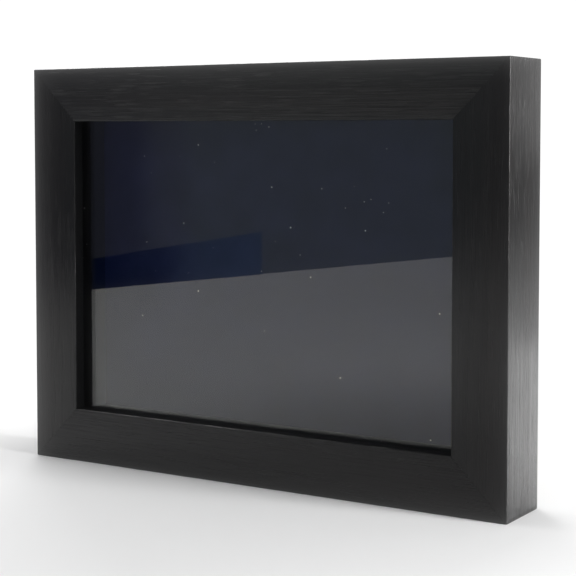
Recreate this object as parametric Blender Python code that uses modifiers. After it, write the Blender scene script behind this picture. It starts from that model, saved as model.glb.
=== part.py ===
"""A rear-loading shadow box for a standard 5 x 7 in insert, standing on its bottom rail.

Four mitred rails of deep rabbeted moulding hold a glass pane behind their lip. Behind the
glass come four spacer strips, a lining board and a back panel, and four turn buttons lock
the panel in. The corners are joined with V-nails, and sawtooth hangers let the box hang
either way round. The origin is under the middle of the box, +Z is up, and the front faces
-Y. Left and right are as seen from the front.
"""

import math

import bmesh
import bpy
from mathutils import Matrix

MM = 0.001

# Driving sizes: the insert, and the opening that shows all but a quarter inch of its edges.
INSERT_W = 177.8 * MM
INSERT_H = 127.0 * MM
SIGHT_W = 165.1 * MM
SIGHT_H = 114.3 * MM

# The moulding's section.
FACE = 20.8 * MM
DEPTH = 27.0 * MM
LIP = 5.0 * MM
INSERT_ROOM = 1.0 * MM
FRONT_ARRIS = 0.4 * MM
BACK_ROUND = 1.5 * MM
ARC_STEPS = 4
MITRE_GAP = 0.1 * MM

# The stack behind the lip. The spacers take up what the other layers leave.
GAP = 0.2 * MM
GLASS = 2.0 * MM
BOARD = 2.0 * MM
PANEL = 3.0 * MM
SPACER = 5.0 * MM

# Turn buttons and their screws.
BUTTON_ALONG = 52.0 * MM
BUTTON_THICK = 1.0 * MM
BUTTON_REACH = 12.5 * MM
BUTTON_ROUND = 4.2 * MM
BUTTON_TIP = 2.2 * MM
BUTTON_BORE = 1.59 * MM
SCREW_SHANK = 1.5 * MM
SCREW_HEAD = 3.1 * MM
SCREW_HEAD_HIGH = 1.6 * MM
SCREW_DEEP = 9.0 * MM
RECESS = (3.2 * MM, 0.7 * MM, 0.9 * MM)
HARDWARE_GAP = 0.1 * MM

# V-nails across each mitre: an outer and an inner one.
NAIL_PLACES = {"outer": 3.4 * MM, "inner": 8.4 * MM}
V_LEG = 5.0 * MM
V_HALF_THICK = 0.3 * MM
V_HIGH = 10.0 * MM
V_SUNK = 0.4 * MM

# Sawtooth hangers and their nails.
HANGER_LONG = 40.0 * MM
HANGER_FOOT = 6.5 * MM
HANGER_RAMP = 2.5 * MM
HANGER_RISE = 2.0 * MM
HANGER_WIDE = 8.0 * MM
HANGER_THICK = 0.8 * MM
TOOTH_PITCH = 1.5 * MM
TOOTH_DEEP = 1.1 * MM
TEETH = 12
PIN_ALONG = 16.8 * MM
PIN_SHANK = 0.7 * MM
PIN_HEAD = 1.5 * MM
PIN_HEAD_HIGH = 0.6 * MM
PIN_DEEP = 9.0 * MM
PIN_BORE = 0.95 * MM

HOLE_ROOM = 0.15 * MM
ROUND_STEPS = 24
PAST = 1.0 * MM
MERGE = 0.00001

# Worked out from the sizes above.
WIDTH = SIGHT_W + 2 * FACE
HEIGHT = SIGHT_H + 2 * FACE
WALL = FACE - (INSERT_W - SIGHT_W) / 2 - INSERT_ROOM
SCREW_PROUD = 2 * HARDWARE_GAP + BUTTON_THICK + SCREW_HEAD_HIGH
HANGER_PROUD = HARDWARE_GAP + HANGER_RISE + HANGER_THICK
FRONT_Y = -(DEPTH + max(SCREW_PROUD, HANGER_PROUD)) / 2
BACK_Y = FRONT_Y + DEPTH
GLASS_FRONT = LIP + GAP
SPACER_FRONT = GLASS_FRONT + GLASS + GAP
PANEL_FRONT = DEPTH - GAP - PANEL
BOARD_FRONT = PANEL_FRONT - GAP - BOARD
SPACER_DEEP = BOARD_FRONT - GAP - SPACER_FRONT

# Each side's turn about Y, its rail's length, and the distance from the middle to its outer edge.
SIDES = {
    "bottom": (0, WIDTH, HEIGHT / 2),
    "top": (math.pi, WIDTH, HEIGHT / 2),
    "left": (math.pi / 2, HEIGHT, WIDTH / 2),
    "right": (-math.pi / 2, HEIGHT, WIDTH / 2),
}
# Each corner's turn about Y from the bottom left one, and the signs of its X and Z.
CORNERS = {
    "bottom_left": (0, -1, -1),
    "bottom_right": (-math.pi / 2, 1, -1),
    "top_right": (math.pi, 1, 1),
    "top_left": (math.pi / 2, -1, 1),
}
# Each button's rail, and which way along it the button lies and points.
BUTTONS = {
    "top_left": ("top", 1),
    "top_right": ("top", -1),
    "bottom_left": ("bottom", -1),
    "bottom_right": ("bottom", 1),
}
HANGERS = {"landscape": "top", "portrait": "left"}


def clear_scene():
    for item in list(bpy.data.objects):
        bpy.data.objects.remove(item, do_unlink=True)


def new_collection(name):
    made = bpy.data.collections.new(name)
    bpy.context.scene.collection.children.link(made)
    return made


def new_material(name, color, roughness, metallic=0.0, alpha=1.0):
    made = bpy.data.materials.new(name)
    made.use_nodes = True
    shader = made.node_tree.nodes["Principled BSDF"]
    shader.inputs["Base Color"].default_value = (*color, 1.0)
    shader.inputs["Roughness"].default_value = roughness
    shader.inputs["Metallic"].default_value = metallic
    shader.inputs["Alpha"].default_value = alpha
    made.diffuse_color = (*color, alpha)
    return made


def place(name, mesh, group, matrix, material=None):
    made = bpy.data.objects.new(name, mesh)
    group.objects.link(made)
    made.matrix_world = matrix
    if material and not mesh.materials:
        mesh.materials.append(material)
    return made


def hide_cutter(cutter):
    cutter.hide_render = True
    cutter.display_type = "WIRE"
    return cutter


def cut(target, cutter, operation="DIFFERENCE"):
    boolean = target.modifiers.new(cutter.name, "BOOLEAN")
    boolean.operation = operation
    boolean.solver = "EXACT"
    boolean.object = cutter


def finished_mesh(made):
    """The object's mesh with its modifiers applied. The object itself is removed."""
    graph = bpy.context.evaluated_depsgraph_get()
    mesh = bpy.data.meshes.new_from_object(made.evaluated_get(graph))
    bpy.data.objects.remove(made, do_unlink=True)
    return mesh


def tidy_mesh(mesh, matrix):
    """Welds loose caps and makes every face point out."""
    shape = bmesh.new()
    shape.from_mesh(mesh)
    bmesh.ops.remove_doubles(shape, verts=shape.verts, dist=MERGE)
    bmesh.ops.transform(shape, matrix=matrix, verts=shape.verts)
    bmesh.ops.recalc_face_normals(shape, faces=shape.faces)
    shape.to_mesh(mesh)
    shape.free()
    return mesh


def box_mesh(name, low, high):
    """A box between two corners."""
    middle = [(a + b) / 2 for a, b in zip(low, high)]
    size = [b - a for a, b in zip(low, high)]
    shape = bmesh.new()
    matrix = Matrix.Translation(middle) @ Matrix.Diagonal((*size, 1.0))
    bmesh.ops.create_cube(shape, size=1.0, matrix=matrix)
    mesh = bpy.data.meshes.new(name)
    shape.to_mesh(mesh)
    shape.free()
    return mesh


def outline_mesh(name, loops, thickness, matrix):
    """A flat outline, with any holes in it, given a thickness along its own Z."""
    curve = bpy.data.curves.new(name, "CURVE")
    curve.dimensions = "2D"
    curve.fill_mode = "BOTH"
    curve.extrude = thickness / 2
    for loop in loops:
        spline = curve.splines.new("POLY")
        spline.points.add(len(loop) - 1)
        spline.use_cyclic_u = True
        for point, (u, v) in zip(spline.points, loop):
            point.co = (u, v, 0.0, 1.0)
    made = bpy.data.objects.new(name, curve)
    bpy.context.scene.collection.objects.link(made)
    mesh = finished_mesh(made)
    mesh.name = name
    return tidy_mesh(mesh, matrix)


def turned_mesh(name, profile):
    """A turned shape about Y. The profile's points are (radius, y), from the back to the front."""
    mesh = bpy.data.meshes.new(name)
    edges = [(i, i + 1) for i in range(len(profile) - 1)]
    mesh.from_pydata([(radius, 0.0, y) for radius, y in profile], edges, [])
    made = bpy.data.objects.new(name, mesh)
    bpy.context.scene.collection.objects.link(made)
    screw = made.modifiers.new("turn", "SCREW")
    screw.steps = screw.render_steps = ROUND_STEPS
    screw.use_merge_vertices = True
    screw.merge_threshold = MERGE
    turned = tidy_mesh(finished_mesh(made), Matrix.Rotation(-math.pi / 2, 4, "X"))
    turned.name = name
    turned.shade_smooth()
    turned.set_sharp_from_angle(angle=math.radians(35))
    return turned


def circle(radius, middle_u=0.0, middle_v=0.0):
    turns = [2 * math.pi * i / ROUND_STEPS for i in range(ROUND_STEPS)]
    return [(middle_u + radius * math.cos(t), middle_v + radius * math.sin(t)) for t in turns]


def sign(value):
    return (value > 0) - (value < 0)


def rounded(corners):
    """An outline of right-angled corners (u, v, radius), with an arc at each that has a radius."""
    points = []
    for i, (u, v, radius) in enumerate(corners):
        if not radius:
            points.append((u, v))
            continue
        before, after = corners[i - 1], corners[(i + 1) % len(corners)]
        back = (sign(before[0] - u), sign(before[1] - v))
        on = (sign(after[0] - u), sign(after[1] - v))
        for step in range(ARC_STEPS + 1):
            turn = math.pi / 2 * step / ARC_STEPS
            to_back = radius * (1 - math.sin(turn))
            to_on = radius * (1 - math.cos(turn))
            points.append(
                (u + back[0] * to_back + on[0] * to_on, v + back[1] * to_back + on[1] * to_on)
            )
    return points


def side_matrix(side, along, inward, y):
    """A place on one side: so far along its rail, inward from its outer edge, and at this Y."""
    turn, _, reach = SIDES[side]
    middle = Matrix.Translation((0.0, y, HEIGHT / 2))
    return middle @ Matrix.Rotation(turn, 4, "Y") @ Matrix.Translation((along, 0.0, inward - reach))


def corner_matrix(corner, inward, y):
    """A place on a corner's mitre line, so far in from both outer edges."""
    turn, sign_x, sign_z = CORNERS[corner]
    x = sign_x * (WIDTH / 2 - inward)
    z = HEIGHT / 2 + sign_z * (HEIGHT / 2 - inward)
    return Matrix.Translation((x, y, z)) @ Matrix.Rotation(turn, 4, "Y")


def rail_section():
    """The moulding's section, as (depth from the front, distance in from the outer edge)."""
    return rounded(
        [
            (0.0, 0.0, FRONT_ARRIS),
            (DEPTH, 0.0, BACK_ROUND),
            (DEPTH, WALL, 0.0),
            (LIP, WALL, 0.0),
            (LIP, FACE, 0.0),
            (0.0, FACE, FRONT_ARRIS),
        ]
    )


def mitre_cutter(side, end, cutters):
    """A block whose face is the 45 degree plane at one end of a rail."""
    _, length, reach = SIDES[side]
    size = 3 * FACE
    mesh = box_mesh("mitre", (-MITRE_GAP / 2, -DEPTH, -size), (size, 2 * DEPTH, size))
    matrix = side_matrix(side, end * length / 2, 0.0, FRONT_Y) @ Matrix.Rotation(
        -math.pi / 4 if end > 0 else math.pi * 5 / 4, 4, "Y"
    )
    return hide_cutter(place(f"mitre_{side}_{'b' if end > 0 else 'a'}", mesh, cutters, matrix))


def make_rails(parts, cutters, material):
    """The four rails, each mitred at both ends."""
    lay_along_x = Matrix(((0, 0, 1, 0), (1, 0, 0, 0), (0, 1, 0, 0), (0, 0, 0, 1)))
    rails = {}
    for side, (_, length, _) in SIDES.items():
        mesh = outline_mesh(f"rail_{side}", [rail_section()], length, lay_along_x)
        rail = place(f"rail_{side}", mesh, parts, side_matrix(side, 0.0, 0.0, FRONT_Y), material)
        for end in (-1, 1):
            cut(rail, mitre_cutter(side, end, cutters))
        rails[side] = rail
    return rails


def v_outline(room=0.0):
    """The V-nail's outline, with its bend on the mitre and a leg along each rail."""
    half = V_HALF_THICK + room
    leg = V_LEG + room
    return [(-half, -half), (leg, -half), (leg, half), (half, half), (half, leg), (-half, leg)]


def make_v_nails(rails, parts, cutters, material):
    """Two V-nails at each corner, in slots that are cut in both of its rails."""
    stand = Matrix.Rotation(math.pi / 2, 4, "X")
    nail = outline_mesh("v_nail", [v_outline()], V_HIGH, stand)
    slot = outline_mesh("v_slot", [v_outline(HOLE_ROOM)], V_HIGH + 2 * V_SUNK + PAST, stand)
    for corner in CORNERS:
        up_or_down, left_or_right = corner.split("_")
        for where, inward in NAIL_PLACES.items():
            y = BACK_Y - V_SUNK - V_HIGH / 2
            place(f"v_nail_{corner}_{where}", nail, parts, corner_matrix(corner, inward, y), material)
            y = BACK_Y + PAST / 2 - V_SUNK - V_HIGH / 2
            matrix = corner_matrix(corner, inward, y)
            cutter = hide_cutter(place(f"v_slot_{corner}_{where}", slot, cutters, matrix))
            cut(rails[up_or_down], cutter)
            cut(rails[left_or_right], cutter)


def layer_mesh(name, width, height, front, thickness, middle_x=0.0, middle_z=HEIGHT / 2):
    """A flat layer of the stack, so far behind the front."""
    low = (middle_x - width / 2, FRONT_Y + front, middle_z - height / 2)
    high = (middle_x + width / 2, FRONT_Y + front + thickness, middle_z + height / 2)
    return box_mesh(name, low, high)


def make_stack(parts, looks):
    """The glass, the four spacer strips, the lining board and the back panel."""
    still = Matrix.Identity(4)
    layers = {
        "glass_pane": (GLASS_FRONT, GLASS, looks["glass"]),
        "lining_board": (BOARD_FRONT, BOARD, looks["lining"]),
        "back_panel": (PANEL_FRONT, PANEL, looks["panel"]),
    }
    for name, (front, thickness, material) in layers.items():
        mesh = layer_mesh(name, INSERT_W, INSERT_H, front, thickness)
        place(name, mesh, parts, still, material)
    long_z = (INSERT_H - SPACER) / 2
    short_x = (INSERT_W - SPACER) / 2
    short = INSERT_H - 2 * SPACER - 2 * GAP
    strips = {
        "top": (INSERT_W, SPACER, 0.0, long_z),
        "bottom": (INSERT_W, SPACER, 0.0, -long_z),
        "left": (SPACER, short, -short_x, 0.0),
        "right": (SPACER, short, short_x, 0.0),
    }
    for side, (width, height, x, z) in strips.items():
        name = f"spacer_{side}"
        mesh = layer_mesh(name, width, height, SPACER_FRONT, SPACER_DEEP, x, HEIGHT / 2 + z)
        place(name, mesh, parts, still, looks["spacer"])


def button_outline():
    """A teardrop: a round end about the screw, straight flanks and a small round tip."""
    tip_u = BUTTON_REACH - BUTTON_TIP
    lean = math.asin((BUTTON_ROUND - BUTTON_TIP) / tip_u)
    flank = math.pi / 2 - lean
    points = []
    for middle, radius, start, sweep in (
        (tip_u, BUTTON_TIP, -flank, 2 * flank),
        (0.0, BUTTON_ROUND, flank, 2 * (math.pi - flank)),
    ):
        steps = ROUND_STEPS // 2
        for step in range(steps + 1):
            turn = start + sweep * step / steps
            points.append((middle + radius * math.cos(turn), radius * math.sin(turn)))
    return points


def screw_mesh(cutters):
    """A pan-head screw with a cross recess. Its origin is on the rail's back face."""
    seat = 2 * HARDWARE_GAP + BUTTON_THICK
    top = seat + SCREW_HEAD_HIGH
    crown = [(SCREW_HEAD * math.sin(t), seat + SCREW_HEAD_HIGH * (0.35 + 0.65 * math.cos(t)))
             for t in (math.pi / 2 * step / ARC_STEPS for step in range(ARC_STEPS + 1))]
    profile = [
        *crown,
        (SCREW_HEAD, seat),
        (SCREW_SHANK, seat),
        (SCREW_SHANK, 2 * SCREW_SHANK - SCREW_DEEP),
        (0.0, -SCREW_DEEP),
    ]
    screw = bpy.data.objects.new("screw", turned_mesh("button_screw", profile))
    cutters.objects.link(screw)
    long, wide, deep = RECESS
    for name, size_x, size_z in (("recess_flat", long, wide), ("recess_upright", wide, long)):
        low = (-size_x / 2, top - deep, -size_z / 2)
        high = (size_x / 2, top + PAST, size_z / 2)
        slot = place(name, box_mesh(name, low, high), cutters, Matrix.Identity(4))
        cut(screw, hide_cutter(slot))
    return finished_mesh(screw)


def make_buttons(rails, parts, cutters, looks):
    """The turn buttons, lying along their rails clear of the panel, and their screws."""
    stand = Matrix.Rotation(math.pi / 2, 4, "X")
    plate = outline_mesh(
        "turn_button", [button_outline(), circle(BUTTON_BORE)], BUTTON_THICK, stand
    )
    screw = screw_mesh(cutters)
    screw.materials.append(looks["steel"])
    hole = turned_mesh(
        "screw_hole",
        [(0.0, PAST), (SCREW_SHANK + HOLE_ROOM, PAST), (SCREW_SHANK + HOLE_ROOM, -SCREW_DEEP - GAP),
         (0.0, -SCREW_DEEP - GAP)],
    )
    plate_y = BACK_Y + HARDWARE_GAP + BUTTON_THICK / 2
    for corner, (side, way) in BUTTONS.items():
        along = way * BUTTON_ALONG
        point = Matrix.Rotation(0.0 if way > 0 else math.pi, 4, "Y")
        matrix = side_matrix(side, along, WALL / 2, plate_y) @ point
        place(f"turn_button_{corner}", plate, parts, matrix, looks["steel"])
        matrix = side_matrix(side, along, WALL / 2, BACK_Y)
        place(f"button_screw_{corner}", screw, parts, matrix)
        cut(rails[side], hide_cutter(place(f"screw_hole_{corner}", hole, cutters, matrix)))


def tooth_outline():
    """The hanger's outline from behind: straight, but for a row of teeth along its inner edge."""
    half_long, half_wide = HANGER_LONG / 2, HANGER_WIDE / 2
    points = [(-half_long, -half_wide), (half_long, -half_wide), (half_long, half_wide)]
    for tooth in range(TEETH + 1):
        u = TOOTH_PITCH * (TEETH / 2 - tooth)
        points.append((u, half_wide))
        if tooth < TEETH:
            points.append((u - TOOTH_PITCH / 2, half_wide - TOOTH_DEEP))
    return [*points, (-half_long, half_wide)]


def hanger_mesh(cutters):
    """A strip whose middle stands off the rail, with a nail hole in each foot."""
    half = HANGER_LONG / 2
    ramp = half - HANGER_FOOT
    raised = ramp - HANGER_RAMP
    under = [(-half, 0.0), (-ramp, 0.0), (-raised, HANGER_RISE),
             (raised, HANGER_RISE), (ramp, 0.0), (half, 0.0)]
    over = [(u, v + HANGER_THICK) for u, v in reversed(under)]
    strip = bpy.data.objects.new(
        "hanger", outline_mesh("hanger", [under + over], 2 * HANGER_WIDE, Matrix.Identity(4))
    )
    cutters.objects.link(strip)
    holes = [circle(PIN_BORE, way * PIN_ALONG) for way in (-1, 1)]
    outline = outline_mesh(
        "hanger_outline", [tooth_outline(), *holes], 8 * HANGER_RISE, Matrix.Rotation(math.pi / 2, 4, "X")
    )
    cut(strip, hide_cutter(place("hanger_outline", outline, cutters, Matrix.Identity(4))), "INTERSECT")
    return finished_mesh(strip)


def make_hangers(rails, parts, cutters, looks):
    """A sawtooth hanger on the top rail and one on the left rail, each with two nails."""
    strip = hanger_mesh(cutters)
    strip.materials.append(looks["brass_plate"])
    seat = 2 * HARDWARE_GAP + HANGER_THICK
    nail = turned_mesh(
        "hanger_nail",
        [(0.0, seat + PIN_HEAD_HIGH), (PIN_HEAD, seat + PIN_HEAD_HIGH), (PIN_HEAD, seat),
         (PIN_SHANK, seat), (PIN_SHANK, 2 * PIN_SHANK - PIN_DEEP), (0.0, -PIN_DEEP)],
    )
    hole = turned_mesh(
        "nail_hole",
        [(0.0, PAST), (PIN_SHANK + HOLE_ROOM, PAST), (PIN_SHANK + HOLE_ROOM, -PIN_DEEP - GAP),
         (0.0, -PIN_DEEP - GAP)],
    )
    for way_up, side in HANGERS.items():
        matrix = side_matrix(side, 0.0, WALL / 2, BACK_Y + HARDWARE_GAP)
        place(f"hanger_{way_up}", strip, parts, matrix)
        for letter, way in (("a", -1), ("b", 1)):
            matrix = side_matrix(side, way * PIN_ALONG, WALL / 2, BACK_Y)
            place(f"hanger_nail_{way_up}_{letter}", nail, parts, matrix, looks["brass_plate"])
            cutter = place(f"nail_hole_{way_up}_{letter}", hole, cutters, matrix)
            cut(rails[side], hide_cutter(cutter))


def main():
    clear_scene()
    parts = new_collection("shadow_box")
    cutters = new_collection("cutters")
    looks = {
        "glass": new_material("glass", (0.80, 0.84, 0.82), 0.02, alpha=0.3),
        "lining": new_material("black_felt", (0.008, 0.008, 0.009), 0.95),
        "spacer": new_material("black_strip", (0.010, 0.010, 0.011), 0.80),
        "panel": new_material("hardboard", (0.16, 0.10, 0.06), 0.75),
        "steel": new_material("zinc_steel", (0.55, 0.55, 0.56), 0.35, metallic=1.0),
        "brass_plate": new_material("brass_plate", (0.72, 0.55, 0.27), 0.35, metallic=1.0),
    }
    wood = new_material("black_woodgrain", (0.016, 0.016, 0.018), 0.42)
    rails = make_rails(parts, cutters, wood)
    make_v_nails(rails, parts, cutters, looks["steel"])
    make_stack(parts, looks)
    make_buttons(rails, parts, cutters, looks)
    make_hangers(rails, parts, cutters, looks)


main()
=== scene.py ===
"""Looks for the shadow box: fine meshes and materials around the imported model, a pale table,
soft studio light and the camera. Metres, +Z up, the front facing -Y."""

import math

import bmesh
import bpy
from mathutils import Matrix, Vector, noise


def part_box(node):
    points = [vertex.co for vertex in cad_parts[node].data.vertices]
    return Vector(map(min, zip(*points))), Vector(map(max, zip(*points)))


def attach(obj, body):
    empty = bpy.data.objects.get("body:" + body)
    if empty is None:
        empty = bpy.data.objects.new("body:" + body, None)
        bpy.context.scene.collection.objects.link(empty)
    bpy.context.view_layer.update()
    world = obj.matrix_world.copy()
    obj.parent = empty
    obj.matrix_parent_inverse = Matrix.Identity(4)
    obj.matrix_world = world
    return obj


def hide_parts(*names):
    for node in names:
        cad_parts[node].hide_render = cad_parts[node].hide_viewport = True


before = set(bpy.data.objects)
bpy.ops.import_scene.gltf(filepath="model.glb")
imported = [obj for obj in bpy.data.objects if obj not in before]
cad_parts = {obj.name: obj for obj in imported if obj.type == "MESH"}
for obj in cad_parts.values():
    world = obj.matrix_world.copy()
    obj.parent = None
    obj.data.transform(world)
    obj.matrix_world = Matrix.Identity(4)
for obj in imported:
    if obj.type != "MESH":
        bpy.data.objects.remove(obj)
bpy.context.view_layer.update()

MM = 0.001

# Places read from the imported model.
RAIL_LOW, RAIL_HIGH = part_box("rail_left")[0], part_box("rail_right")[1]
PANEL_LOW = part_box("back_panel")[0]
GLASS_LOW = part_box("glass_pane")[0]
LEFT_X, RIGHT_X = RAIL_LOW.x, RAIL_HIGH.x
FRONT_Y, BACK_Y = RAIL_LOW.y, RAIL_HIGH.y
BOTTOM_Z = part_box("rail_bottom")[0].z
TOP_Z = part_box("rail_top")[1].z
WIDTH = RIGHT_X - LEFT_X
HEIGHT = TOP_Z - BOTTOM_Z
MIDDLE_Z = (TOP_Z + BOTTOM_Z) / 2
DEPTH = BACK_Y - FRONT_Y
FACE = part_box("rail_bottom")[1].z - BOTTOM_Z

# The rail's section, and its hairline mitres.
INSERT_ROOM = 1.0 * MM
GLASS_GAP = 0.2 * MM
WALL = PANEL_LOW.x - LEFT_X - INSERT_ROOM
LIP = GLASS_LOW.y - FRONT_Y - GLASS_GAP
FRONT_ARRIS = 0.4 * MM
BACK_ROUND = 1.5 * MM
SMALL_ARRIS = 0.15 * MM
ARC_STEPS = 8
MITRE_HALF = 0.06 * MM
MITRE_ARRIS = 0.15 * MM
MITRE_SEGMENTS = 2

# The front's waver: its height, its ups and downs per metre along and around the rail, and the shift
# that makes each rail's its own.
RAIL_STEPS = 64
WAVER_HEIGHT = 0.03 * MM
WAVER_ALONG = 90.0
WAVER_AROUND = 300.0
WAVER_SHIFT = 7.3

# The eased edges of the boards and of the metal pieces. Metal facets within the small angle of each
# other count as one, and edges above the large one are eased.
BOARD_SEGMENTS = 3
METAL_SEGMENTS = 2
METAL_FLAT_WITHIN = math.radians(1)
METAL_EASED_ABOVE = math.radians(35)

# Edges above these angles stay sharp in the shading.
BOARD_SHARP_ABOVE = math.radians(40)
METAL_SHARP_ABOVE = math.radians(50)

# How far the V-nails' tops come out to lie level with the wood around them.
V_NAIL_LIFT = 0.43 * MM

# Each side's turn about Y, its rail's length, and the distance from the middle to its outer edge.
SIDES = {
    "bottom": (0.0, WIDTH, HEIGHT / 2),
    "top": (math.pi, WIDTH, HEIGHT / 2),
    "left": (math.pi / 2, HEIGHT, WIDTH / 2),
    "right": (-math.pi / 2, HEIGHT, WIDTH / 2),
}


# ---------------------------------------------------------------- material helpers

# The Mix node's sockets for colours. Its sockets for other kinds of value have the same names.
MIX_FACTOR, MIX_FIRST, MIX_SECOND, MIX_RESULT = 0, 6, 7, 2


def new_material(name):
    made = bpy.data.materials.new(name)
    made.use_nodes = True
    return made, made.node_tree, made.node_tree.nodes["Principled BSDF"]


def feed(tree, node, inputs):
    """Gives each input a constant, or a link from another node's output."""
    for name, value in inputs.items():
        if isinstance(value, bpy.types.NodeSocket):
            tree.links.new(value, node.inputs[name])
        else:
            node.inputs[name].default_value = value


def add(tree, kind, inputs=None, **settings):
    """A new node, with its settings and what feeds its inputs."""
    made = tree.nodes.new(kind)
    for name, value in settings.items():
        setattr(made, name, value)
    feed(tree, made, inputs or {})
    return made


def stretched(tree, scale):
    """The object's own coordinates, scaled by a different amount along each axis."""
    coords = add(tree, "ShaderNodeTexCoord")
    mapped = add(tree, "ShaderNodeMapping", {"Vector": coords.outputs["Object"], "Scale": scale})
    return mapped.outputs["Vector"]


def even(tree, scale):
    """The object's own coordinates, scaled by the same amount along every axis."""
    return stretched(tree, (scale, scale, scale))


def speckle(tree, vector, detail=2.0, roughness=0.5):
    made = add(
        tree,
        "ShaderNodeTexNoise",
        {"Vector": vector, "Scale": 1.0, "Detail": detail, "Roughness": roughness},
    )
    return made.outputs["Fac"]


def remap(tree, value, low, high, to_low, to_high):
    made = add(
        tree,
        "ShaderNodeMapRange",
        {"Value": value, "From Min": low, "From Max": high, "To Min": to_low, "To Max": to_high},
    )
    return made.outputs["Result"]


def blend_colors(tree, factor, first, second):
    inputs = {MIX_FACTOR: factor, MIX_FIRST: first, MIX_SECOND: second}
    return add(tree, "ShaderNodeMix", inputs, data_type="RGBA").outputs[MIX_RESULT]


def maths(tree, operation, first, second):
    return add(tree, "ShaderNodeMath", {0: first, 1: second}, operation=operation).outputs["Value"]


def raise_surface(tree, shader, height, distance, strength):
    """Fine relief in the shading, as deep as the distance where its strength is 1."""
    bump = add(tree, "ShaderNodeBump", {"Height": height, "Distance": distance, "Strength": strength})
    feed(tree, shader, {"Normal": bump.outputs["Normal"]})


# ---------------------------------------------------------------- materials

# The wood grain's marks: their frequency along the grain and across it, per metre.
FIBRES = (26.0, 1500.0)
STREAKS = (9.0, 430.0)
BANDS = (4.0, 90.0)
PORES = (60.0, 2400.0)

# The black stain, from its pores to its lightest fibres, and the tint of its warmer bands.
STAIN_PORE = (0.0006, 0.0006, 0.0007, 1.0)
STAIN_DARK = (0.0012, 0.0012, 0.0014, 1.0)
STAIN_LIGHT = (0.0060, 0.0058, 0.0060, 1.0)
STAIN_WARM = (0.0050, 0.0036, 0.0036, 1.0)

# The wood's gloss: how far it is stretched, and the quarter turn that lays it across the grain.
GLOSS_STRETCH = 0.7
GLOSS_TURN = 0.25

# The other materials' colours, each from dark to light.
PAINT_COLORS = (0.0015, 0.0018, 0.0022, 1.0), (0.0040, 0.0042, 0.0046, 1.0)
FELT_COLORS = (0.012, 0.015, 0.045, 1.0), (0.023, 0.028, 0.077, 1.0)
STRIP_COLORS = (0.006, 0.006, 0.007, 1.0), (0.014, 0.014, 0.015, 1.0)
HARDBOARD_COLORS = (0.115, 0.066, 0.036, 1.0), (0.225, 0.140, 0.080, 1.0)
HARDBOARD_CLOUD = (0.120, 0.075, 0.045, 1.0)
HARDBOARD_FLECK = (0.050, 0.028, 0.016, 1.0)
ZINC_COLORS = (0.36, 0.37, 0.38, 1.0), (0.58, 0.59, 0.61, 1.0)
BRASS_COLORS = (0.50, 0.36, 0.16, 1.0), (0.74, 0.56, 0.27, 1.0)
GLASS_TINT = (0.93, 0.95, 0.95, 1.0)


def woodgrain(name, along):
    """Black-stained open grain. along is 0 where the grain runs along X, and 2 along Z."""

    def marks(frequency, detail, roughness=0.5):
        along_grain, across_grain = frequency
        scale = tuple(along_grain if axis == along else across_grain for axis in range(3))
        return speckle(tree, stretched(tree, scale), detail, roughness)

    made, tree, shader = new_material(name)
    fibre = maths(tree, "MULTIPLY", marks(FIBRES, 3.0, 0.65), 0.45)
    streak = maths(tree, "MULTIPLY", marks(STREAKS, 2.0, 0.6), 0.55)
    grain = remap(tree, maths(tree, "ADD", fibre, streak), 0.36, 0.64, 0.0, 1.0)
    warm = remap(tree, marks(BANDS, 1.0), 0.40, 0.65, 0.0, 0.7)
    pore = remap(tree, marks(PORES, 1.0), 0.62, 0.72, 0.0, 1.0)
    color = blend_colors(tree, grain, STAIN_DARK, STAIN_LIGHT)
    color = blend_colors(tree, warm, color, STAIN_WARM)
    color = blend_colors(tree, pore, color, STAIN_PORE)
    satin = remap(tree, grain, 0.0, 1.0, 0.29, 0.20)
    rough = maths(tree, "ADD", satin, maths(tree, "MULTIPLY", pore, 0.15))
    fibre_way = add(
        tree,
        "ShaderNodeVectorTransform",
        {"Vector": tuple(1.0 if axis == along else 0.0 for axis in range(3))},
        vector_type="VECTOR",
        convert_from="OBJECT",
        convert_to="WORLD",
    )
    inputs = {
        "Base Color": color,
        "Roughness": rough,
        "Specular IOR Level": 0.42,
        "Tangent": fibre_way.outputs["Vector"],
        "Anisotropic": GLOSS_STRETCH,
        "Anisotropic Rotation": GLOSS_TURN,
    }
    feed(tree, shader, inputs)
    relief = maths(tree, "SUBTRACT", grain, maths(tree, "MULTIPLY", pore, 0.6))
    raise_surface(tree, shader, relief, 0.12 * MM, 0.65)
    return made


def painted_edge():
    """The plain matt black of the lip's inner edge and of the rabbet."""
    made, tree, shader = new_material("painted_edge")
    tooth = speckle(tree, even(tree, 900.0), detail=3.0)
    color = blend_colors(tree, tooth, *PAINT_COLORS)
    rough = remap(tree, tooth, 0.3, 0.7, 0.50, 0.65)
    feed(tree, shader, {"Base Color": color, "Roughness": rough, "Specular IOR Level": 0.15})
    raise_surface(tree, shader, tooth, 0.02 * MM, 0.4)
    return made


def clear_glass():
    """Polished glass with a few specks of dust."""
    made, tree, shader = new_material("clear_glass")
    speck = speckle(tree, even(tree, 900.0), detail=0.0)
    film = maths(tree, "MULTIPLY", speckle(tree, even(tree, 25.0)), 0.12)
    dust = remap(tree, maths(tree, "ADD", speck, film), 0.935, 0.955, 0.0, 1.0)
    inputs = {
        "Base Color": GLASS_TINT,
        "IOR": 1.55,
        "Transmission Weight": remap(tree, dust, 0.0, 1.0, 1.0, 0.75),
        "Roughness": remap(tree, dust, 0.0, 1.0, 0.0, 0.5),
    }
    feed(tree, shader, inputs)
    return made


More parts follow.
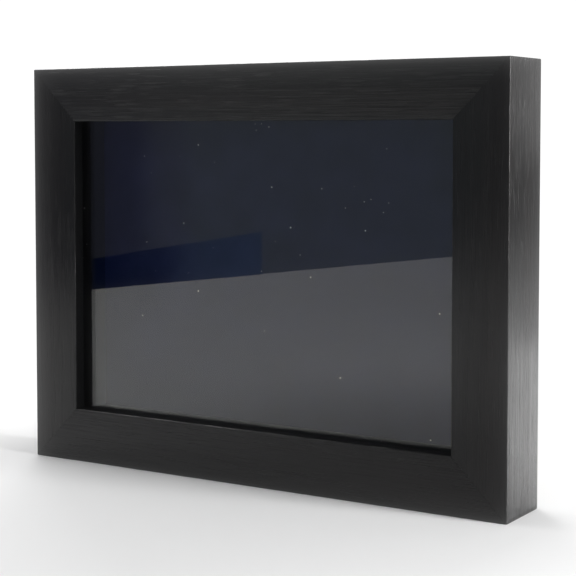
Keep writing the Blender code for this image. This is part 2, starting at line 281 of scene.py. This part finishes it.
def navy_felt():
    """Blue-black felt, faintly mottled."""
    made, tree, shader = new_material("navy_felt")
    nap = speckle(tree, even(tree, 2600.0))
    cloud = speckle(tree, even(tree, 60.0))
    mottle = maths(tree, "ADD", maths(tree, "MULTIPLY", nap, 0.4), maths(tree, "MULTIPLY", cloud, 0.6))
    color = blend_colors(tree, remap(tree, mottle, 0.3, 0.7, 0.0, 1.0), *FELT_COLORS)
    feed(tree, shader, {"Base Color": color, "Roughness": 0.95, "Specular IOR Level": 0.1})
    raise_surface(tree, shader, nap, 0.01 * MM, 0.3)
    return made


def black_board():
    """Black-faced strip board with a fine paper tooth."""
    made, tree, shader = new_material("black_board")
    tooth = speckle(tree, even(tree, 1400.0), detail=3.0)
    color = blend_colors(tree, tooth, *STRIP_COLORS)
    feed(tree, shader, {"Base Color": color, "Roughness": 0.75, "Specular IOR Level": 0.3})
    raise_surface(tree, shader, tooth, 0.04 * MM, 0.5)
    return made


def hardboard():
    """Brown pressed fibre, with darker flecks and long pale fibres."""
    made, tree, shader = new_material("pressed_hardboard")
    fibre = speckle(tree, stretched(tree, (260.0, 700.0, 900.0)), detail=5.0, roughness=0.7)
    fleck = remap(tree, speckle(tree, even(tree, 1300.0)), 0.62, 0.72, 0.0, 1.0)
    cloud = remap(tree, speckle(tree, even(tree, 14.0), detail=3.0), 0.3, 0.7, 0.0, 0.35)
    color = blend_colors(tree, remap(tree, fibre, 0.3, 0.7, 0.0, 1.0), *HARDBOARD_COLORS)
    color = blend_colors(tree, cloud, color, HARDBOARD_CLOUD)
    color = blend_colors(tree, fleck, color, HARDBOARD_FLECK)
    feed(tree, shader, {"Base Color": color, "Roughness": remap(tree, fibre, 0.3, 0.7, 0.75, 0.55)})
    raise_surface(tree, shader, fibre, 0.08 * MM, 0.5)
    return made


def plated(name, dull, bright):
    """Plated steel with faint tumbling marks and dull patches."""
    made, tree, shader = new_material(name)
    cloud = speckle(tree, even(tree, 180.0), detail=4.0)
    scratch = speckle(tree, stretched(tree, (300.0, 900.0, 4200.0)))
    color = blend_colors(tree, remap(tree, cloud, 0.35, 0.65, 0.0, 1.0), bright, dull)
    wear = remap(tree, maths(tree, "MULTIPLY", cloud, scratch), 0.12, 0.42, 0.24, 0.46)
    feed(tree, shader, {"Base Color": color, "Metallic": 1.0, "Roughness": wear})
    raise_surface(tree, shader, scratch, 0.01 * MM, 0.4)
    return made


# ---------------------------------------------------------------- pieces


def add_piece(name, mesh, body, nodes):
    """Shows a piece that rides on a CAD body and stands for CAD nodes."""
    made = bpy.data.objects.new(name, mesh)
    bpy.context.scene.collection.objects.link(made)
    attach(made, body)
    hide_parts(*nodes)
    return made


def finished_mesh(name, shape, sharp_above):
    """A shape's mesh, shaded smooth but for its sharper edges."""
    mesh = bpy.data.meshes.new(name)
    shape.to_mesh(mesh)
    shape.free()
    mesh.shade_smooth()
    mesh.set_sharp_from_angle(angle=sharp_above)
    return mesh


def side_matrix(side):
    """Lays a rail, built along X with its outer edge at Z 0, on its side of the frame."""
    turn, _, reach = SIDES[side]
    middle = Matrix.Translation((0.0, 0.0, MIDDLE_Z))
    return middle @ Matrix.Rotation(turn, 4, "Y") @ Matrix.Translation((0.0, 0.0, -reach))


def sign(value):
    return (value > 0) - (value < 0)


def rounded(corners):
    """An outline of right-angled corners (u, v, radius), with an arc at each."""
    points = []
    for i, (u, v, radius) in enumerate(corners):
        before, after = corners[i - 1], corners[(i + 1) % len(corners)]
        back = (sign(before[0] - u), sign(before[1] - v))
        on = (sign(after[0] - u), sign(after[1] - v))
        for step in range(ARC_STEPS + 1):
            turn = math.pi / 2 * step / ARC_STEPS
            to_back = radius * (1 - math.sin(turn))
            to_on = radius * (1 - math.cos(turn))
            points.append(
                (u + back[0] * to_back + on[0] * to_on, v + back[1] * to_back + on[1] * to_on)
            )
    return points


def rail_section():
    """The moulding's section, as (depth from the front, distance in from the outer edge)."""
    return rounded(
        [
            (0.0, 0.0, FRONT_ARRIS),
            (DEPTH, 0.0, BACK_ROUND),
            (DEPTH, WALL, SMALL_ARRIS),
            (LIP, WALL, SMALL_ARRIS),
            (LIP, FACE, SMALL_ARRIS),
            (0.0, FACE, FRONT_ARRIS),
        ]
    )


def rail_ring(section, length, share, waver_height, seed):
    """The section's points at a share of the way from the rail's middle to its mitred end."""
    ring = []
    for u, v in section:
        x = share * (length / 2 - v - MITRE_HALF)
        y = FRONT_Y + u
        if u < LIP:
            place = Vector((x * WAVER_ALONG, v * WAVER_AROUND + seed, u * WAVER_AROUND))
            y += waver_height * abs(noise.noise(place))
        ring.append((x, y, v))
    return ring


def rail_mesh(side):
    """A mitred length of the moulding, whose front wavers a hair as a sanded one does."""
    _, length, _ = SIDES[side]
    section = rail_section()
    seed = list(SIDES).index(side) * WAVER_SHIFT
    shape = bmesh.new()
    rings = []
    for step in range(RAIL_STEPS + 1):
        share = 2 * step / RAIL_STEPS - 1
        waver_height = WAVER_HEIGHT if 0 < step < RAIL_STEPS else 0.0
        ring = rail_ring(section, length, share, waver_height, seed)
        rings.append([shape.verts.new(point) for point in ring])
    count = len(section)
    for first, second in zip(rings, rings[1:]):
        for i in range(count):
            j = (i + 1) % count
            shape.faces.new((first[i], second[i], second[j], first[j]))
    ends = [shape.faces.new(rings[0]), shape.faces.new(rings[-1][::-1])]
    bmesh.ops.bevel(
        shape,
        geom=[edge for face in ends for edge in face.edges],
        offset=MITRE_ARRIS,
        segments=MITRE_SEGMENTS,
        affect="EDGES",
        clamp_overlap=True,
    )
    bmesh.ops.recalc_face_normals(shape, faces=shape.faces)
    return finished_mesh(f"rail_{side}_fine", shape, BOARD_SHARP_ABOVE)


def paint_inside(mesh, paint):
    """Gives the lip's inner edge and the rabbet their own paint."""
    mesh.materials.append(paint)
    for face in mesh.polygons:
        behind_the_arris = face.center.y > FRONT_Y + FRONT_ARRIS
        if behind_the_arris and face.center.z > WALL - SMALL_ARRIS:
            face.material_index = 1


def make_rails():
    paint = painted_edge()
    across, upright = woodgrain("woodgrain_across", 0), woodgrain("woodgrain_upright", 2)
    grain = {"bottom": across, "top": across, "left": upright, "right": upright}
    for side in SIDES:
        mesh = rail_mesh(side)
        mesh.materials.append(grain[side])
        paint_inside(mesh, paint)
        mesh.transform(side_matrix(side))
        add_piece(f"rail_{side}_fine", mesh, "case", [f"rail_{side}"])


def bevelled_box(name, low, high, radius):
    shape = bmesh.new()
    matrix = Matrix.Translation((low + high) / 2) @ Matrix.Diagonal((*(high - low), 1.0))
    bmesh.ops.create_cube(shape, size=1.0, matrix=matrix)
    bmesh.ops.bevel(
        shape, geom=shape.edges, offset=radius, segments=BOARD_SEGMENTS, affect="EDGES"
    )
    return finished_mesh(name, shape, BOARD_SHARP_ABOVE)


def make_layers():
    """The glass, the spacers, the lining and the back, with eased edges."""
    strip = black_board()
    # Each node's body, slot and material, and its edges' radius.
    layers = {
        "glass_pane": ("case", "glass", clear_glass(), 0.15 * MM),
        "lining_board": ("back", "black_felt", navy_felt(), 0.4 * MM),
        "back_panel": ("back", "hardboard", hardboard(), 0.25 * MM),
        "spacer_top": ("case", "black_strip", strip, 0.2 * MM),
        "spacer_bottom": ("case", "black_strip", strip, 0.2 * MM),
        "spacer_left": ("case", "black_strip", strip, 0.2 * MM),
        "spacer_right": ("case", "black_strip", strip, 0.2 * MM),
    }
    for node, (body, slot, material, radius) in layers.items():
        mesh = bevelled_box(node, *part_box(node), radius)
        mesh.materials.append(material)
        add_piece(f"{node}_fine", mesh, body, [node])


def softened_mesh(node, radius, lift):
    """A node's own shape in world coordinates, with its flat facets joined and its edges eased."""
    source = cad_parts[node]
    shape = bmesh.new()
    shape.from_mesh(source.data)
    shape.transform(Matrix.Translation((0.0, lift, 0.0)) @ source.matrix_world)
    bmesh.ops.dissolve_limit(
        shape, angle_limit=METAL_FLAT_WITHIN, verts=shape.verts, edges=shape.edges
    )
    bmesh.ops.bevel(
        shape,
        geom=[edge for edge in shape.edges if edge.calc_face_angle(0.0) > METAL_EASED_ABOVE],
        offset=radius,
        segments=METAL_SEGMENTS,
        affect="EDGES",
        clamp_overlap=True,
    )
    return finished_mesh(f"{node}_fine", shape, METAL_SHARP_ABOVE)


def make_hardware():
    """The plated buttons, screws, V-nails, hangers and nails, with eased edges."""
    zinc = plated("zinc_plate", *ZINC_COLORS)
    brass = plated("brass_plated_steel", *BRASS_COLORS)
    # What each kind of node's name starts with: its material and slot, its edges' radius and its lift.
    kinds = {
        "turn_button_": (zinc, "zinc_steel", 0.18 * MM, 0.0),
        "button_screw_": (zinc, "zinc_steel", 0.10 * MM, 0.0),
        "v_nail_": (zinc, "zinc_steel", 0.05 * MM, V_NAIL_LIFT),
        "hanger_": (brass, "brass_plate", 0.12 * MM, 0.0),
    }
    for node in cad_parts:
        for start, (material, slot, radius, lift) in kinds.items():
            if node.startswith(start):
                mesh = softened_mesh(node, radius, lift)
                mesh.materials.append(material)
                body = node.removeprefix("turn_") if start == "turn_button_" else "case"
                add_piece(f"{node}_fine", mesh, body, [node])


# ---------------------------------------------------------------- studio

CAMERA_PLACE = Vector((0.3072, -0.4750, 0.1308))
CAMERA_YAW = math.radians(32.23)
CAMERA_DOWN = math.radians(3.17)
CAMERA_LENS = 94.49
CAMERA_SENSOR = 36.0
CAMERA_SHIFT_Y = -0.125
CAMERA_NEAR = 0.01

# The lens's veil: each blur's size in the render's own pixels, and its share.
VEILS = ((10, 0.056), (36, 0.052), (90, 0.006))

# The round table top, and the hair of room under the box.
TABLE_WHITE = (0.80, 0.80, 0.80, 1.0)
TABLE_RADIUS = 12.0
TABLE_SEGMENTS = 96
TABLE_GAP = 0.05 * MM

# The half length and half depth of the oval around the box where the table starts to fade to the
# seamless white behind it, as the camera sees it, and the shares of that oval the fade runs over.
SEAMLESS_OVAL = (0.12, 0.30)
SEAMLESS_FROM_TO = (0.95, 1.60)

# The left edge of the table, in front of the box, where the room beyond it starts.
TABLE_EDGE = Vector((-0.502, -0.521, 0.0))
TABLE_EDGE_WAY = Vector((0.235, -0.972, 0.0)).normalized()

# The two cards that stand along that edge: their start and end along it, and their height at each.
DIM_ROOM_CARD = (-0.25, 1.1, 1.3, 1.3)
DARK_BAND_CARD = (-0.05, 0.19, 0.0225, 0.0395)
DARK_BAND_NEARER = 0.004

# The card of painted light that lies on the table beside the box, seen only in reflections: its low
# and high X from the right side, and its low and high Y.
PAINTED_LIGHT_CARD = (0.002, 1.202, -0.02, 0.41)

# Glows along the reflection cards: (share of the way along, colour).
DIM_ROOM_STOPS = [
    (0.19, (0.065, 0.070, 0.10)),
    (0.215, (0.07, 0.075, 0.11)),
    (0.245, (0.13, 0.14, 0.16)),
    (0.275, (0.16, 0.18, 0.19)),
    (0.53, (0.16, 0.18, 0.19)),
]
DARK_BAND_STOPS = [
    (0.20, (0.000, 0.006, 0.050)),
    (0.48, (0.010, 0.020, 0.065)),
    (0.72, (0.080, 0.115, 0.20)),
    (1.00, (0.085, 0.125, 0.21)),
]
# Painted light: glows that brighten the table beside the box, as the right side reflects it.
PAINTED_LIGHT_STOPS = [
    (0.0, (0.62, 0.62, 0.62)),
    (0.3, (1.15, 1.15, 1.15)),
    (1.0, (1.15, 1.15, 1.15)),
]

# A painted shade on the table in front of the box, as the front reflects it: a clear sheet that only
# reflections see, dimming what lies behind it.
SHADE_MIDDLE = Vector((0.03, -0.13, 0.001))
SHADE_RADIUS = 0.22
SHADE_DARKEST = 0.64

# The room's glow: its direction, how tightly it gathers there, and its colour.
ROOM_GLOWS = [
    ((0.0, 1.0, 0.1), 2.0, (0.80, 0.80, 0.80)),
    ((0.0, -1.0, 0.1), 2.0, (0.17, 0.17, 0.19)),
]

# Softboxes: place, size and power. They all aim at one point in the box.
SOFTBOX_AIM = Vector((0.0, 0.0, 0.05))
SOFTBOXES = {
    "back_left": ((-0.75, 0.82, 0.88), (0.5, 0.5), 7.6),
    "right": ((0.95, 0.00, 0.60), (0.4, 0.8), 8.5),
    "right_edge": ((1.00, 0.05, 0.25), (0.2, 0.4), 7.5),
    "top_left": ((-0.78, 0.00, 0.98), (1.0, 0.2), 5.6),
    "front_left": ((-0.80, -1.05, 0.40), (0.4, 0.3), 2.2),
}


def make_camera():
    data = bpy.data.cameras.new("camera")
    data.lens = CAMERA_LENS
    data.sensor_width = CAMERA_SENSOR
    data.shift_y = CAMERA_SHIFT_Y
    data.clip_start = CAMERA_NEAR
    camera = bpy.data.objects.new("camera", data)
    camera.location = CAMERA_PLACE
    camera.rotation_euler = (math.pi / 2 - CAMERA_DOWN, 0.0, CAMERA_YAW)
    bpy.context.scene.collection.objects.link(camera)
    bpy.context.scene.camera = camera


def white_table():
    """Matt white that fades, as the camera sees it, to the seamless white behind it."""
    made, tree, shader = new_material("white_table")
    feed(tree, shader, {"Base Color": TABLE_WHITE, "Roughness": 0.9, "Specular IOR Level": 0.0})
    oval = stretched(tree, (1 / SEAMLESS_OVAL[0], 1 / SEAMLESS_OVAL[1], 0.0))
    reach = add(tree, "ShaderNodeVectorMath", {"Vector": oval}, operation="LENGTH")
    far = remap(tree, reach.outputs["Value"], *SEAMLESS_FROM_TO, 0.0, 1.0)
    path = add(tree, "ShaderNodeLightPath")
    seen = maths(tree, "MULTIPLY", far, path.outputs["Is Camera Ray"])
    glow = add(tree, "ShaderNodeEmission", {"Strength": 1.0})
    inputs = {0: seen, 1: shader.outputs["BSDF"], 2: glow.outputs["Emission"]}
    mix = add(tree, "ShaderNodeMixShader", inputs)
    feed(tree, tree.nodes["Material Output"], {"Surface": mix.outputs["Shader"]})
    return made


def make_floor():
    """A large matt white table top."""
    shape = bmesh.new()
    bmesh.ops.create_circle(shape, cap_ends=True, segments=TABLE_SEGMENTS, radius=TABLE_RADIUS)
    mesh = bpy.data.meshes.new("floor")
    shape.to_mesh(mesh)
    shape.free()
    mesh.materials.append(white_table())
    floor = bpy.data.objects.new("floor", mesh)
    floor.location.z = BOTTOM_Z - TABLE_GAP
    bpy.context.scene.collection.objects.link(floor)


def bare_material(name):
    """A material with no nodes yet."""
    made = bpy.data.materials.new(name)
    made.use_nodes = True
    made.node_tree.nodes.clear()
    return made, made.node_tree


def glow_material(name, axis, stops, sheer=False):
    """A plain glow whose colour runs through the stops, (share along the axis, colour).

    A sheer one adds its glow to what lies behind it.
    """
    made, tree = bare_material(name)
    coords = add(tree, "ShaderNodeTexCoord")
    split = add(tree, "ShaderNodeSeparateXYZ", {"Vector": coords.outputs["Generated"]})
    ramp = add(tree, "ShaderNodeValToRGB", {"Fac": split.outputs[axis]})
    ramp.color_ramp.interpolation = "EASE"
    for element, (share, color) in zip(tuple(ramp.color_ramp.elements), (stops[0], stops[-1])):
        element.position = share
        element.color = (*color, 1.0)
    for share, color in stops[1:-1]:
        ramp.color_ramp.elements.new(share).color = (*color, 1.0)
    glow = add(tree, "ShaderNodeEmission", {"Color": ramp.outputs["Color"], "Strength": 1.0})
    shader = glow.outputs["Emission"]
    if sheer:
        clear = add(tree, "ShaderNodeBsdfTransparent")
        both = add(tree, "ShaderNodeAddShader", {0: clear.outputs["BSDF"], 1: shader})
        shader = both.outputs["Shader"]
    add(tree, "ShaderNodeOutputMaterial", {"Surface": shader})
    return made


def shade_material(name, darkest, radius):
    """Clear, but for a soft round painted shade that dims what lies behind it."""
    made, tree = bare_material(name)
    coords = add(tree, "ShaderNodeTexCoord")
    reach = add(tree, "ShaderNodeVectorMath", {"Vector": coords.outputs["Object"]}, operation="LENGTH")
    share = add(
        tree,
        "ShaderNodeMapRange",
        {"Value": reach.outputs["Value"], "From Max": radius, "To Min": darkest, "To Max": 1.0},
        interpolation_type="SMOOTHSTEP",
    )
    clear = add(tree, "ShaderNodeBsdfTransparent", {"Color": share.outputs["Result"]})
    add(tree, "ShaderNodeOutputMaterial", {"Surface": clear.outputs["BSDF"]})
    return made


def standing_corners(start, end, start_height, end_height):
    """A card's corners, standing on X from start to end."""
    return [(start, 0.0, 0.0), (end, 0.0, 0.0), (end, 0.0, end_height), (start, 0.0, start_height)]


def lying_corners(low_x, high_x, low_y, high_y):
    """A card's corners, lying flat."""
    return [(low_x, low_y, 0.0), (high_x, low_y, 0.0), (high_x, high_y, 0.0), (low_x, high_y, 0.0)]


def add_card(name, corners, matrix, material, double=True):
    """A card that only reflections see. A double one shows from the glass's back face too."""
    mesh = bpy.data.meshes.new(name)
    mesh.from_pydata(corners, [], [(0, 1, 2, 3)])
    mesh.materials.append(material)
    card = bpy.data.objects.new(name, mesh)
    card.matrix_world = matrix
    bpy.context.scene.collection.objects.link(card)
    card.visible_camera = False
    card.visible_diffuse = False
    card.visible_transmission = double
    card.visible_shadow = False


def make_reflections():
    """Cards only reflections see: the room and the table as the front shows them, painted light on the
    table beside the box as the right side shows it, and a painted shade on the table in front.
    """
    edge_turn = math.atan2(TABLE_EDGE_WAY.y, TABLE_EDGE_WAY.x)
    edge = Matrix.Translation(TABLE_EDGE) @ Matrix.Rotation(edge_turn, 4, "Z")
    nearer = edge @ Matrix.Translation((0.0, DARK_BAND_NEARER, 0.0))
    room_glow = glow_material("dim_room", "X", DIM_ROOM_STOPS)
    add_card("dim_room", standing_corners(*DIM_ROOM_CARD), edge, room_glow)
    band_glow = glow_material("dark_band", "X", DARK_BAND_STOPS)
    add_card("dark_band", standing_corners(*DARK_BAND_CARD), nearer, band_glow)
    # Painted light on the table beside the box, which the right side reflects.
    beside = Matrix.Translation((RIGHT_X, 0.0, 0.0))
    painted_light_glow = glow_material("painted_table_light", "Y", PAINTED_LIGHT_STOPS, sheer=True)
    add_card("painted_table_light", lying_corners(*PAINTED_LIGHT_CARD), beside, painted_light_glow, double=False)
    # A painted shade on the table in front of the box, which the front reflects.
    shade_corners = lying_corners(-SHADE_RADIUS, SHADE_RADIUS, -SHADE_RADIUS, SHADE_RADIUS)
    shade = shade_material("front_shade", SHADE_DARKEST, SHADE_RADIUS)
    add_card("front_shade", shade_corners, Matrix.Translation(SHADE_MIDDLE), shade)


def room_glow_toward(tree, view, way, tightness, color):
    """A soft glow that gathers around one direction."""
    inputs = {0: view, 1: Vector(way).normalized()}
    toward = add(tree, "ShaderNodeVectorMath", inputs, operation="DOT_PRODUCT")
    lobe = maths(tree, "POWER", maths(tree, "MAXIMUM", toward.outputs["Value"], 0.0), tightness)
    glow = add(tree, "ShaderNodeVectorMath", {0: color, "Scale": lobe}, operation="SCALE")
    return glow.outputs["Vector"]


def make_world():
    """White to the camera, and a soft room to everything else."""
    world = bpy.data.worlds.new("studio")
    bpy.context.scene.world = world
    world.use_nodes = True
    tree = world.node_tree
    tree.nodes.clear()
    view = add(tree, "ShaderNodeTexCoord").outputs["Generated"]
    back, front = (room_glow_toward(tree, view, *glow) for glow in ROOM_GLOWS)
    total = add(tree, "ShaderNodeVectorMath", {0: back, 1: front}, operation="ADD").outputs["Vector"]
    room = add(tree, "ShaderNodeBackground", {"Color": total, "Strength": 1.0})
    white = add(tree, "ShaderNodeBackground", {"Color": (1.0, 1.0, 1.0, 1.0), "Strength": 1.0})
    camera_ray = add(tree, "ShaderNodeLightPath").outputs["Is Camera Ray"]
    inputs = {0: camera_ray, 1: room.outputs["Background"], 2: white.outputs["Background"]}
    mix = add(tree, "ShaderNodeMixShader", inputs)
    add(tree, "ShaderNodeOutputWorld", {"Surface": mix.outputs["Shader"]})


def add_softbox(name, place, size, watts):
    data = bpy.data.lights.new(name, "AREA")
    data.shape = "RECTANGLE"
    data.size, data.size_y = size
    data.energy = watts
    light = bpy.data.objects.new(name, data)
    light.location = place
    light.rotation_euler = (SOFTBOX_AIM - Vector(place)).to_track_quat("-Z", "Y").to_euler()
    bpy.context.scene.collection.objects.link(light)


def make_lights():
    for name, (place, size, watts) in SOFTBOXES.items():
        add_softbox(name, place, size, watts)


def make_veil():
    """The faint veil that a lens spreads from the white surround over the dark frame."""
    scene = bpy.context.scene
    scene.use_nodes = True
    tree = scene.node_tree
    tree.nodes.clear()
    picture = add(tree, "CompositorNodeRLayers").outputs["Image"]
    total = picture
    for size, share in VEILS:
        soft = add(
            tree,
            "CompositorNodeBlur",
            {"Image": picture},
            filter_type="GAUSS",
            size_x=size,
            size_y=size,
        )
        inputs = {0: share, 1: total, 2: soft.outputs["Image"]}
        total = add(tree, "CompositorNodeMixRGB", inputs, blend_type="ADD").outputs["Image"]
    add(tree, "CompositorNodeComposite", {"Image": total})


def main():
    bpy.context.scene.view_settings.view_transform = "Standard"
    make_camera()
    make_rails()
    make_layers()
    make_hardware()
    make_floor()
    make_reflections()
    make_world()
    make_lights()
    make_veil()


main()
